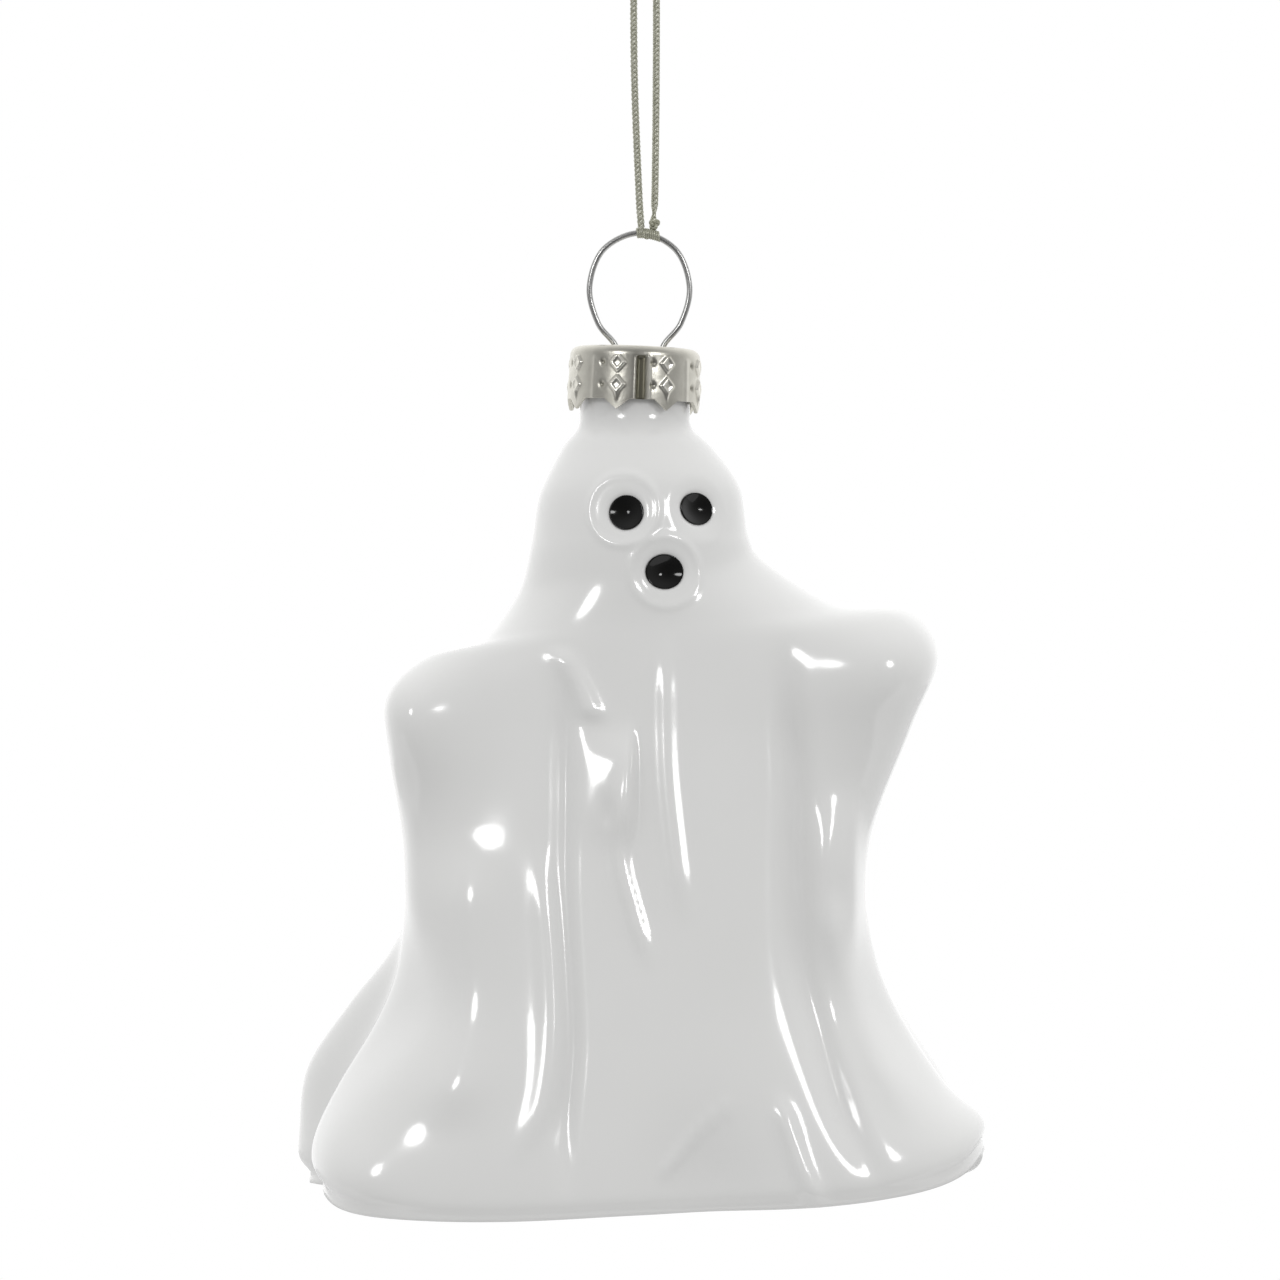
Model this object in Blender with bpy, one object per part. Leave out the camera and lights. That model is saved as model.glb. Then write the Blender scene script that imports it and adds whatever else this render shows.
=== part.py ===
"""A blown glass ghost with a stamped metal cap, a wire hanger and a loop of metallic cord.

Lengths are in millimetres here and are turned into metres when a mesh is made.
The origin is where a hook holds the cord's loop, just under its knot. X runs to
the right, Y away from the viewer and Z up. The ghost faces -Y.
"""
import math

import bmesh
import bpy
from mathutils import Matrix, Vector
from mathutils.bvhtree import BVHTree

MM = 0.001

# How far the top of the wire's ring hangs below the hook, and where the glass stands across
LOOP_DROP = 31.3
GLASS_X = -0.7

# Clearances
SEAT_GAP = 0.3
RIM_PLAY = 0.15
NECK_PLAY = 0.65
LEG_PLAY = 0.05
HOLE_PLAY = 0.35

# Glass shell
WALL = 1.3
NECK_RADIUS = 5.5
NECK_INSIDE = NECK_RADIUS - WALL
RIM_HEIGHT = 84.65
AROUND = 80
BACK_FULLER = 1.3
SIDE_SPACING = 0.15
FRONT_SPACING = 0.15
HEAD_ROW_STEP = 2
GOWN_ROW_STEP = 3
GOWN_LEVEL = 7
INNER_VALLEY_WIDEN = 1.35
INNER_RIDGE_SHARE = 0.2
INNER_SOCKET_WIDEN = 1.2

# Face, turned a little to the viewer's right
SOCKET_RADIUS = 3.4
SOCKET_DEPTH = 1.0
SOCKET_LIP = 0.22
ENAMEL_THICK = 0.4
HEAD_RADIUS = 10.5
LEFT_EYE = (-1.2, 69.2, 1.75)
RIGHT_EYE = (5.8, 69.4, 1.65)
MOUTH = (2.6, 63.1, 1.85)

# Cap
CAP_WALL = 0.35
CAP_X = -0.25
CAP_RADIUS = NECK_RADIUS + NECK_PLAY + CAP_WALL
CAP_TOP = RIM_HEIGHT + SEAT_GAP + RIM_PLAY + CAP_WALL
CAP_SHOULDER = 0.9
CAP_DEPTH = 5.3
CAP_POINTS = 8
CAP_POINT_DROP = 1.05
CAP_TURN = math.radians(-15)
CAP_TILT = math.radians(2)
DIAMOND_WIDE = 0.9
DIAMOND_TALL = 1.08
DIAMOND_RAISE = 0.26

# Wire hanger
WIRE_RADIUS = 0.3
WIRE_X = 0.15
RING_HALF_WIDE = 5.0
RING_WIDEST = 6.15
RING_TALL = 11.55
RING_TOP = CAP_TOP + RING_TALL
HOOK_HEIGHT = RING_TOP + LOOP_DROP
WAIST = 2.3
LEG_SPREAD = NECK_INSIDE - WIRE_RADIUS - SEAT_GAP - LEG_PLAY
LEG_LONG = 14.95

# Cord
CORD_RADIUS = 0.36
KNOT_HEIGHT = 5.6
KNOT_RADIUS = 1.9
KNOT_WIDE = 1.12
KNOT_DEEP = 0.95
TAIL_LONG = 4.8
TAIL_LEAN = math.radians(16)

# How far from the wire's middle the cord's middle passes, and where the cord starts under its knot
WRAP = WIRE_RADIUS + SEAT_GAP + CORD_RADIUS
CORD_START = KNOT_HEIGHT - KNOT_RADIUS - SEAT_GAP

# The glass's outline at each level: how far the front reaches and how high it is there, the same for the
# viewer's right and left sides, and the rows of faces down to the next level
LEVELS = (
    (NECK_RADIUS - 0.1, 84.65, NECK_RADIUS - 0.1, 84.65, NECK_RADIUS - 0.1, 84.65, 2),
    (NECK_RADIUS, 79.6, NECK_RADIUS, 79.6, NECK_RADIUS, 79.6, 2),
    (5.7, 77.5, 5.7, 77.5, 5.7, 77.5, 2),
    (7.5, 75.6, 7.6, 75.6, 7.4, 75.5, 4),
    (9.9, 71.6, 10.2, 71.6, 9.8, 71.0, 5),
    (10.8, 66.4, 11.1, 66.6, 10.7, 65.8, 4),
    (10.9, 61.8, 12.9, 64.0, 12.2, 60.6, 3),
    (11.1, 58.4, 19.6, 60.1, 16.5, 55.7, 2),
    (11.4, 55.4, 27.0, 59.5, 21.8, 54.4, 3),
    (11.8, 50.8, 30.1, 54.8, 25.3, 50.6, 2),
    (12.1, 45.6, 27.4, 47.6, 25.0, 44.8, 4),
    (12.8, 34.6, 23.1, 35.4, 23.5, 34.8, 4),
    (13.9, 23.4, 24.4, 23.8, 24.4, 23.6, 4),
    (16.0, 11.8, 30.1, 14.0, 30.0, 13.4, 3),
    (17.9, 4.0, 34.6, 9.0, 33.2, 6.4, 2),
    (17.6, 1.2, 34.4, 6.8, 32.5, 3.3, 1),
    (15.9, 0.0, 33.4, 4.6, 31.2, 1.5, 2),
    (7.6, 1.3, 15.6, 1.9, 15.2, 1.5, 1),
)

# The outline is stretched to the rim's height
STRETCH = RIM_HEIGHT / LEVELS[0][1]

# How much farther the cloth spreads behind and how much it tucks in front, low down on each side
SPREAD = {1: 0.08, -1: 0.23}
TUCK = {1: 0.11, -1: 0.13}

# Folds of the cloth in front: start and end across and up, bow to the right, half width, raise
FRONT_FOLDS = (
    (-7.2, 56.0, -6.2, 3.0, -0.6, 2.1, -2.3),
    (13.2, 60.0, 21.0, 2.0, -3.6, 2.2, -2.5),
    (2.8, 57.0, 4.4, 30.0, 0.2, 2.3, 0.8),
    (-4.9, 47.0, 0.8, 24.0, -0.9, 1.5, 0.9),
    (18.4, 43.0, 25.0, 11.0, -3.4, 2.0, 1.5),
    (-9.6, 36.0, -10.8, 5.0, 2.2, 1.5, 0.8),
    (-14.8, 36.0, -18.6, 10.0, 0.4, 2.4, 1.0),
    (-21.0, 40.0, -22.4, 22.0, 0.0, 1.8, 0.8),
    (-8.4, 58.5, -3.8, 50.0, 0.6, 1.5, 0.7),
    (14.0, 11.0, 17.8, 0.0, 0.4, 1.3, 0.9),
)

# The same for the back, seen from the front
BACK_FOLDS = (
    (-8.6, 57.0, -13.0, 2.0, 1.2, 2.6, -2.1),
    (1.2, 52.0, -1.6, 2.0, 1.0, 3.0, -1.6),
    (11.6, 60.0, 15.0, 2.0, -1.6, 2.6, -2.1),
    (-17.4, 46.0, -22.0, 8.0, 0.0, 2.4, 0.9),
    (20.4, 46.0, 24.0, 8.0, 0.0, 2.4, 0.9),
)

# Round swellings and dents in front: across, up, half width, half height, raise
FRONT_SPOTS = (
    (-3.0, 39.4, 1.5, 1.9, -0.9),
    (-19.6, 50.2, 4.6, 4.6, 1.3),
    (24.6, 54.2, 4.4, 4.2, 1.3),
    (7.6, 2.5, 5.4, 7.4, -1.2),
    (-27.0, 4.0, 4.0, 4.5, 1.0),
)

# The cord's way from the knot, down in front of the ring's wire, under it and back up behind it
CORD_ROUTE = (
    (-0.46, 0.0, CORD_START),
    (-0.9, 0.0, 1.2),
    (-1.12, 0.0, -5.0),
    (-1.05, 0.0, -16.0),
    (-0.62, -0.25, 4.3 - LOOP_DROP),
    (-0.42, -0.75, 1.1 - LOOP_DROP),
    (-0.3, -WRAP, -LOOP_DROP),
    (0.0, -0.55, -0.85 - LOOP_DROP),
    (0.3, 0.55, -0.85 - LOOP_DROP),
    (0.62, WRAP, -LOOP_DROP),
    (0.82, 0.8, 1.1 - LOOP_DROP),
    (1.0, 0.25, 4.3 - LOOP_DROP),
    (1.12, 0.0, -16.0),
    (1.12, 0.0, -5.0),
    (0.9, 0.0, 1.2),
    (0.46, 0.0, CORD_START),
)


def ease(value):
    """Goes smoothly from 0 to 1."""
    value = min(max(value, 0.0), 1.0)
    return value * value * (3.0 - 2.0 * value)


def through(points, place):
    """A smooth curve through the points, read at a place counted in points."""
    last = len(points) - 1
    start = min(max(int(place), 0), last - 1)
    part = place - start
    a, b, c, d = (points[min(max(start + step, 0), last)] for step in (-1, 0, 1, 2))
    answer = []
    for p, q, r, s in zip(a, b, c, d):
        bend = (2 * p - 5 * q + 4 * r - s) * part + (3 * (q - r) + s - p) * part * part
        answer.append(q + 0.5 * part * (r - p + bend))
    return answer


def to_world(point):
    """From millimetres over the ghost's foot to metres under the hook."""
    return Vector((point[0] + GLASS_X, point[1], point[2] - HOOK_HEIGHT)) * MM


def spaced(turn):
    """Moves a column round the glass, so that more of them lie in front, where the folds and the face are."""
    return turn + SIDE_SPACING * math.sin(2.0 * turn) + FRONT_SPACING * math.cos(turn)


def folds(list_of_folds, across, up, inside):
    """How far the folds push the cloth out at a place. They are softer inside, to keep the wall whole."""
    push = 0.0
    for start, top, end, bottom, bow, half_width, rise in list_of_folds:
        down = (top - up) / (top - bottom)
        if 0.0 < down < 1.0:
            middle = start + (end - start) * down + 4.0 * bow * down * (1.0 - down)
            fade = ease(4.0 * down) * ease(5.0 * (1.0 - down))
            spread = half_width * INNER_VALLEY_WIDEN if inside else half_width
            share = INNER_RIDGE_SHARE if inside and rise > 0.0 else 1.0
            push += share * rise * fade * math.exp(-((across - middle) / spread) ** 2)
    return push


def spots(across, up):
    """How far the swellings push the cloth out at a place in front."""
    push = 0.0
    for x, height, half_width, half_height, rise in FRONT_SPOTS:
        push += rise * math.exp(-((across - x) / half_width) ** 2 - ((up - height) / half_height) ** 2)
    return push


def face_place(feature):
    """The middle of an eye or the mouth on the head, and the way out there."""
    across, height, radius = feature
    turn = math.asin(across / HEAD_RADIUS)
    out = Vector((math.sin(turn), -math.cos(turn), 0.0))
    return out * HEAD_RADIUS + Vector((0, 0, height * STRETCH)), out


FACE = [face_place(feature) for feature in (LEFT_EYE, RIGHT_EYE, MOUTH)]


def sockets(point, inside):
    """Dimples with a low lip round the eyes and the mouth, wider and without the lip inside the glass."""
    moved = point.copy()
    wide = SOCKET_RADIUS * INNER_SOCKET_WIDEN if inside else SOCKET_RADIUS
    for middle, out in FACE:
        away = point - middle
        if away.dot(out) > -4.0:
            across = (away - out * away.dot(out)).length / wide
            dimple = (1.0 - across * across) ** 2 if across < 1.0 else 0.0
            lip = 0.0 if inside else math.exp(-((across - 1.12) / 0.2) ** 2)
            moved += out * (SOCKET_LIP * lip - SOCKET_DEPTH * dimple)
    return moved


def glass_point(turn, place, inside=False):
    """A point on the outside of the glass, in millimetres over its foot."""
    front, front_up, right, right_up, left, left_up = through([level[:6] for level in LEVELS], place)
    hand = 1 if math.cos(turn) > 0 else -1
    side, side_up = (right, right_up) if hand > 0 else (left, left_up)
    low = ease((20.0 - front_up) / 16.0)
    skirt = ease((32.0 - front_up) / 13.0)
    behind = ease(-1.6 * math.sin(turn))
    before = ease(1.6 * math.sin(turn))
    cloth = ease((63.0 - front_up) / 12.0)
    square = 2.0 + 0.4 * cloth + (2.2 if hand < 0 else 1.2) * low
    narrow = 5.5 if hand < 0 else 5.0 * behind
    lean = abs(math.cos(turn)) ** (2.0 + narrow * low)
    reach = side * (1.0 + skirt * (1.0 - 0.7 * low) * (SPREAD[hand] * behind - TUCK[hand] * before))
    depth = front + BACK_FULLER * cloth * behind
    corner = (abs(math.cos(turn)) ** square + abs(math.sin(turn)) ** square) ** (1.0 / square)
    across = reach * math.cos(turn) / corner
    away = -depth * math.sin(turn) / corner
    up = front_up + (side_up - front_up) * lean
    up += 0.35 * low * math.sin(5.0 * turn + 0.6)
    groove = 2.4 * ease((28.0 - up) / 20.0) * math.exp(-((away - 1.5) / 4.0) ** 2)
    across -= hand * groove * ease(abs(across) / 12.0) * (1.0 if hand < 0 else 0.35)
    facing = abs(math.sin(turn)) ** 0.7 * ease((up - 0.2) / 3.0)
    if math.sin(turn) > 0:
        away -= facing * (folds(FRONT_FOLDS, across, up, inside) + spots(across, up))
    else:
        away += facing * folds(BACK_FOLDS, across, up, inside)
    point = Vector((across, away, up * STRETCH))
    if 58.0 < up < 75.0 and math.sin(turn) > 0:
        point = sockets(point, inside)
    return point


def inner_point(turn, place):
    """The point inside the glass, one wall in from the outside."""
    step = 0.05
    here = glass_point(turn, place, True)
    along = glass_point(turn + step, place, True) - glass_point(turn - step, place, True)
    down = glass_point(turn, min(place + step, len(LEVELS) - 1.001), True)
    down -= glass_point(turn, max(place - step, 0.0), True)
    inward = along.cross(down).normalized()
    if inward.dot(Vector((here.x, here.y, 0.0))) > 0:
        inward.negate()
    if place > len(LEVELS) - 2.6:
        inward = (inward * 0.3 + Vector((0, 0, 1))).normalized()
    return here + inward * WALL


def spun_tube(rows, columns):
    """A straight line of points spun once round the Z axis: row k lies at height k."""
    mesh = bmesh.new()
    line = [mesh.verts.new((1.0, 0.0, row)) for row in range(rows)]
    edges = [mesh.edges.new(pair) for pair in zip(line, line[1:])]
    bmesh.ops.spin(mesh, geom=line + edges, axis=(0, 0, 1), cent=(0, 0, 0), angle=math.tau,
                   steps=columns, use_merge=True)
    return mesh


def close_end(mesh, row, point):
    """Draws one end row together into a single point."""
    ring = [vertex for vertex in mesh.verts if round(vertex.co.z) == row]
    bmesh.ops.pointmerge(mesh, verts=ring, merge_co=point)


def material(name, colour, roughness, metallic=0.0):
    """A plain finish."""
    made = bpy.data.materials.new(name)
    made.use_nodes = True
    shader = made.node_tree.nodes["Principled BSDF"]
    shader.inputs["Base Color"].default_value = (*colour, 1.0)
    shader.inputs["Roughness"].default_value = roughness
    shader.inputs["Metallic"].default_value = metallic
    return made


def finish(name, mesh, look, smooth_angle=math.radians(40)):
    """Turns a bmesh into a named, smoothly shaded object."""
    bmesh.ops.recalc_face_normals(mesh, faces=mesh.faces)
    if mesh.calc_volume(signed=True) < 0.0:
        bmesh.ops.reverse_faces(mesh, faces=mesh.faces)
    data = bpy.data.meshes.new(name)
    mesh.to_mesh(data)
    mesh.free()
    data.materials.append(look)
    data.shade_smooth()
    data.set_sharp_from_angle(angle=smooth_angle)
    made = bpy.data.objects.new(name, data)
    bpy.context.collection.objects.link(made)
    return made


def row_places():
    """The places of the glass's rows, from the rim down to the underside."""
    places = []
    for index, level in enumerate(LEVELS[:-1]):
        places += [index + step / level[6] for step in range(level[6])]
    return places + [len(LEVELS) - 1.001]


def build_glass(look):
    """The ghost: one thin shell, open at the neck, from the underside up, over the rim and down inside."""
    places = row_places()
    outside = [(glass_point, place) for place in reversed(places)]
    head = [place for place in places if place < GOWN_LEVEL]
    gown = [place for place in places if place >= GOWN_LEVEL]
    kept = head[::HEAD_ROW_STEP] + gown[::GOWN_ROW_STEP] + gown[-1:]
    inside = [(inner_point, place) for place in kept]
    rows = outside + inside
    mesh = spun_tube(len(rows) + 2, AROUND)
    middle_up = (LEVELS[-1][1] + 0.3) * STRETCH
    close_end(mesh, 0, (0, 0, 0))
    close_end(mesh, len(rows) + 1, (0, 0, len(rows) + 1))
    for vertex in mesh.verts:
        row = round(vertex.co.z)
        if row == 0:
            vertex.co = to_world((0, 0, middle_up))
        elif row == len(rows) + 1:
            vertex.co = to_world((0, 0, middle_up + WALL))
        else:
            shape, place = rows[row - 1]
            turn = spaced(math.atan2(-vertex.co.y, vertex.co.x))
            vertex.co = to_world(shape(turn, place))
    return finish("ghost_body", mesh, look, math.radians(60))


def build_enamel(name, feature, glass, look):
    """A thin dish of enamel that follows the floor of its socket."""
    middle, out = face_place(feature)
    across = out.cross(Vector((0, 0, 1)))
    mesh = spun_tube(6, 20)
    tree = BVHTree.FromObject(glass, bpy.context.evaluated_depsgraph_get())
    close_end(mesh, 0, (0, 0, 0))
    close_end(mesh, 5, (0, 0, 5))
    radius = feature[2]
    layers = ((0, SEAT_GAP), (0.55, SEAT_GAP), (0.96, SEAT_GAP), (1.0, SEAT_GAP + 0.5 * ENAMEL_THICK),
              (0.62, SEAT_GAP + ENAMEL_THICK), (0, SEAT_GAP + ENAMEL_THICK))
    for vertex in mesh.verts:
        share, lift = layers[round(vertex.co.z)]
        turn = math.atan2(vertex.co.y, vertex.co.x)
        aside = (across * math.cos(turn) + Vector((0, 0, 1)) * math.sin(turn)) * share * radius
        start = to_world(middle + aside + out * 5.0)
        hit = tree.ray_cast(start, -out)[0]
        vertex.co = hit + out * lift * MM
    return finish(name, mesh, look)


def cap_relief(turn, down):
    """How far the stamping pushes the cap's side out: diamonds in pairs, with a rib between the pairs."""
    sector = math.tau / CAP_POINTS
    beside = (turn - CAP_TURN + sector / 2) % sector - sector / 2
    across = beside * CAP_RADIUS
    push = 0.0
    for middle in (1.8, 4.0):
        near = 1.0 - abs(across) / DIAMOND_WIDE - abs(down - middle) / DIAMOND_TALL
        push += DIAMOND_RAISE * ease(2.2 * near)
    rib = sector / 2 * CAP_RADIUS - abs(across)
    push += 0.16 * math.exp(-(rib / 0.3) ** 2) * ease((down - 0.9) * 2.0)
    return push


def cap_edge(turn):
    """The extra length of the cap's side at its points."""
    sector = math.tau / CAP_POINTS
    beside = abs((turn - CAP_TURN + sector / 2) % sector - sector / 2) * CAP_RADIUS
    return CAP_POINT_DROP * max(0.0, 1.0 - beside / 1.3)


def build_cap(look):
    """A thin stamped crown with a pointed edge and two holes for the wire."""
    side_rows = 10
    columns = CAP_POINTS * 10
    corner = [(math.sin(a), 1.0 - math.cos(a)) for a in (math.radians(d) for d in (0, 35, 65, 90))]
    outer = [(CAP_RADIUS - CAP_SHOULDER + CAP_SHOULDER * x, CAP_SHOULDER * z) for x, z in corner]
    straight = CAP_DEPTH - CAP_SHOULDER
    outer += [(CAP_RADIUS, CAP_SHOULDER + straight * row / side_rows) for row in range(1, side_rows + 1)]
    inner_shoulder = CAP_SHOULDER - CAP_WALL
    inner = [(CAP_RADIUS - CAP_WALL, CAP_DEPTH), (CAP_RADIUS - CAP_WALL, CAP_SHOULDER + 0.5)]
    inner += [(CAP_RADIUS - CAP_SHOULDER + inner_shoulder * x, CAP_WALL + inner_shoulder * z)
              for x, z in (corner[3], corner[1], corner[0])]
    rows = outer + inner
    mesh = spun_tube(len(rows) + 2, columns)
    close_end(mesh, 0, (0, 0, 0))
    close_end(mesh, len(rows) + 1, (0, 0, len(rows) + 1))
    for vertex in mesh.verts:
        row = round(vertex.co.z)
        turn = math.atan2(vertex.co.y, vertex.co.x) + math.pi / 2
        if row == 0:
            radius, down = 0.0, 0.0
        elif row == len(rows) + 1:
            radius, down = 0.0, CAP_WALL
        else:
            radius, down = rows[row - 1]
        if down > CAP_SHOULDER + 0.1:
            skirt = (down - CAP_SHOULDER) / straight
            if 0 < row <= len(outer):
                radius += cap_relief(turn, down)
            down += cap_edge(turn) * ease(3.0 * skirt - 2.0)
        facing = Vector((math.sin(turn), -math.cos(turn), 0.0))
        vertex.co = (facing * radius - Vector((0, 0, down))) * MM
    cap = finish("cap", mesh, look, math.radians(35))
    cap.location = to_world((CAP_X, 0, CAP_TOP))
    cap.rotation_euler.y = CAP_TILT
    for side in (-1, 1):
        bpy.ops.mesh.primitive_cylinder_add(vertices=16, radius=(WIRE_RADIUS + HOLE_PLAY) * MM, depth=3 * MM)
        drill = bpy.context.object
        drill.name = f"wire_hole_{side}"
        drill.location = to_world((side * WAIST + WIRE_X, 0, CAP_TOP))
        drill.hide_render = True
        drill.display_type = "WIRE"
        cut = cap.modifiers.new(drill.name, "BOOLEAN")
        cut.object = drill
        cut.operation = "DIFFERENCE"
    return cap


def tube(name, points, radius, look):
    """A round rod along a list of points, with closed ends."""
    curve = bpy.data.curves.new(name, "CURVE")
    curve.dimensions = "3D"
    curve.bevel_depth = radius * MM
    curve.bevel_resolution = 2
    curve.use_fill_caps = True
    line = curve.splines.new("POLY")
    line.points.add(len(points) - 1)
    for spot, point in zip(line.points, points):
        spot.co = (*(component * MM for component in point), 1.0)
    curve.materials.append(look)
    made = bpy.data.objects.new(name, curve)
    bpy.context.collection.objects.link(made)
    return made


def build_hanger(look):
    """A springy wire: a ring above the cap, a waist at its holes and legs that bear on the neck inside."""
    half = [(LEG_SPREAD - 0.25, CAP_TOP - LEG_LONG), (LEG_SPREAD, CAP_TOP - 8.45),
            (WAIST + 0.75, CAP_TOP - 3.05), (WAIST, CAP_TOP), (4.15, CAP_TOP + 2.55),
            (RING_HALF_WIDE, CAP_TOP + RING_WIDEST), (3.6, RING_TOP - 1.65), (0.0, RING_TOP)]
    route = [(-x, 0.0, z) for x, z in half] + [(x, 0.0, z) for x, z in reversed(half[:-1])]
    count = 76
    points = [through(route, (len(route) - 1) * step / (count - 1)) for step in range(count)]
    hanger = tube("wire_hanger", points, WIRE_RADIUS, look)
    hanger.location = to_world((WIRE_X, 0, 0))
    return hanger


def build_cord(look):
    """The cord: one length, doubled through the ring."""
    count = 78
    points = [through(CORD_ROUTE, (len(CORD_ROUTE) - 1) * step / (count - 1)) for step in range(count)]
    return tube("hanging_cord", points, CORD_RADIUS, look)


def build_knot(look):
    """The overhand knot over the hook, with the cord's two cut ends."""
    mesh = bmesh.new()
    shape = Matrix.Translation((0, 0, KNOT_HEIGHT * MM)) @ Matrix.Diagonal((KNOT_WIDE, KNOT_DEEP, 1.0, 1.0))
    bmesh.ops.create_uvsphere(mesh, u_segments=20, v_segments=12, radius=KNOT_RADIUS * MM, matrix=shape)
    knot = finish("cord_knot", mesh, look)
    for side in (-1, 1):
        tail = bmesh.new()
        lean = Matrix.Rotation(side * TAIL_LEAN, 4, "Y")
        place = Matrix.Translation((side * 0.45 * MM, 0, KNOT_HEIGHT * MM)) @ lean
        place = place @ Matrix.Translation((0, 0, TAIL_LONG / 2 * MM))
        bmesh.ops.create_cone(tail, cap_ends=True, segments=10, radius1=CORD_RADIUS * MM,
                              radius2=CORD_RADIUS * MM, depth=TAIL_LONG * MM, matrix=place)
        cutter = finish(f"tail_{side}", tail, look)
        cutter.hide_render = True
        cutter.display_type = "WIRE"
        join = knot.modifiers.new(cutter.name, "BOOLEAN")
        join.object = cutter
        join.operation = "UNION"
    return knot


def main():
    for old in list(bpy.data.objects):
        bpy.data.objects.remove(old)
    milk_glass = material("milk_glass", (0.80, 0.80, 0.79), 0.05)
    black = material("black_enamel", (0.01, 0.01, 0.01), 0.08)
    crown = material("champagne_metal", (0.72, 0.70, 0.62), 0.22, 1.0)
    steel = material("steel_wire", (0.60, 0.60, 0.59), 0.2, 1.0)
    braid = material("metallic_cord", (0.66, 0.64, 0.54), 0.4, 0.6)
    glass = build_glass(milk_glass)
    build_enamel("left_eye", LEFT_EYE, glass, black)
    build_enamel("right_eye", RIGHT_EYE, glass, black)
    build_enamel("mouth", MOUTH, glass, black)
    build_cap(crown)
    build_hanger(steel)
    build_cord(braid)
    build_knot(braid)


main()
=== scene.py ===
# %% [markdown]
# A hollow ghost of blown milk glass hangs from a loop of metallic cord. A stamped metal cap closes its neck,
# and a springy wire through the cap makes the ring that the cord runs through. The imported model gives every
# piece its size and place, in metres, with the hook that holds the cord at the origin. This file dresses that
# model: each piece is made again with finer faces, and gets a finish of its own.

import math

import bmesh
import bpy
import numpy as np
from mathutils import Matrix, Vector
from mathutils.bvhtree import BVHTree


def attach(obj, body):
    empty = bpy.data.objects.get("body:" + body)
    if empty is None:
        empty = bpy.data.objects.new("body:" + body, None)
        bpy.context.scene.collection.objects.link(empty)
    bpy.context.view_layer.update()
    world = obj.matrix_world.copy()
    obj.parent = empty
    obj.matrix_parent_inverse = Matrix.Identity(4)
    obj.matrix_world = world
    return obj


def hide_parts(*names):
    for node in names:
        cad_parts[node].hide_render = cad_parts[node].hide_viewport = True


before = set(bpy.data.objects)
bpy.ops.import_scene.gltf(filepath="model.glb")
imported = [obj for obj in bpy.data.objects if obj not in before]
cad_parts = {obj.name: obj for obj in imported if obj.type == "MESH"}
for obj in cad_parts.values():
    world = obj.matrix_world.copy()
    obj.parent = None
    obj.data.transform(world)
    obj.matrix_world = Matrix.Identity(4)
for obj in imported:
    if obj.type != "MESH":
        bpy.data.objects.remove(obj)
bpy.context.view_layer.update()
MM = 0.001
print("nodes:", sorted(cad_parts))

# %% [markdown]
# The camera stands level with the middle of the picture, half a metre away, and looks along +Y. At that
# distance the back of the hem shows a little higher than its front, as it does in the photograph. The angle
# of view is worked out from the 128 mm that the frame spans at the ghost.

# %% The camera
CAMERA_DISTANCE = 0.5
FRAME_SPAN = 0.128
VIEW_HEIGHT = -0.072
VIEW_ACROSS = -0.0005

camera_data = bpy.data.cameras.new("camera")
camera_data.angle = 2 * math.atan(FRAME_SPAN / 2 / CAMERA_DISTANCE)
camera_data.clip_start = 0.01
camera_data.clip_end = 20
camera = bpy.data.objects.new("camera", camera_data)
camera.location = (VIEW_ACROSS, -CAMERA_DISTANCE, VIEW_HEIGHT)
camera.rotation_euler = (math.pi / 2, 0, 0)
bpy.context.collection.objects.link(camera)
bpy.context.scene.camera = camera
bpy.context.scene.view_settings.view_transform = "Standard"
print("angle of view:", round(math.degrees(camera_data.angle), 2))

# %% [markdown]
# Every piece here is a tube of some kind: the glass is a tube blown into a mould, the wire and the cord's
# yarns are tubes along a line, and even the cap is a short tube with one end closed. So one way of making a
# mesh serves them all. A straight line of points is spun once round the Z axis, which gives clean rows and
# columns of faces, and each end row is drawn together into one point. A formula then moves the points to
# their places. This keeps the faces even, which matters on glossy glass, where a stray face shows at once.

# %% A tube, and a formula that shapes it
def spun_tube(rows, columns):
    """A line of points spun once round the Z axis. Row k lies at height k, and both ends are closed."""
    mesh = bmesh.new()
    line = [mesh.verts.new((1.0, 0.0, row)) for row in range(rows)]
    edges = [mesh.edges.new(pair) for pair in zip(line, line[1:])]
    bmesh.ops.spin(mesh, geom=line + edges, axis=(0, 0, 1), cent=(0, 0, 0), angle=math.tau,
                   steps=columns, use_merge=True)
    for row in (0, rows - 1):
        ring = [vertex for vertex in mesh.verts if round(vertex.co.z) == row]
        bmesh.ops.pointmerge(mesh, verts=ring, merge_co=(0, 0, row))
    return mesh


def shaped(name, rows, columns, formula):
    """Spins a tube and moves each point to where the formula puts it. The formula takes the points' rows
    and turns, and gives places in metres and a number for each point, kept as the attribute named share."""
    mesh = spun_tube(rows, columns)
    data = bpy.data.meshes.new(name)
    mesh.to_mesh(data)
    mesh.free()
    raw = np.empty(len(data.vertices) * 3)
    data.vertices.foreach_get("co", raw)
    raw = raw.reshape(-1, 3)
    row = np.rint(raw[:, 2]).astype(int)
    turn = np.arctan2(-raw[:, 1], raw[:, 0])
    places, share = formula(row, turn)
    data.vertices.foreach_set("co", np.ascontiguousarray(places, dtype=float).ravel())
    kept = data.attributes.new("share", "FLOAT", "POINT")
    kept.data.foreach_set("value", np.ascontiguousarray(share, dtype=float))
    mesh = bmesh.new()
    mesh.from_mesh(data)
    if mesh.calc_volume(signed=True) < 0:
        bmesh.ops.reverse_faces(mesh, faces=mesh.faces)
    mesh.to_mesh(data)
    mesh.free()
    data.shade_smooth()
    return data


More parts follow.
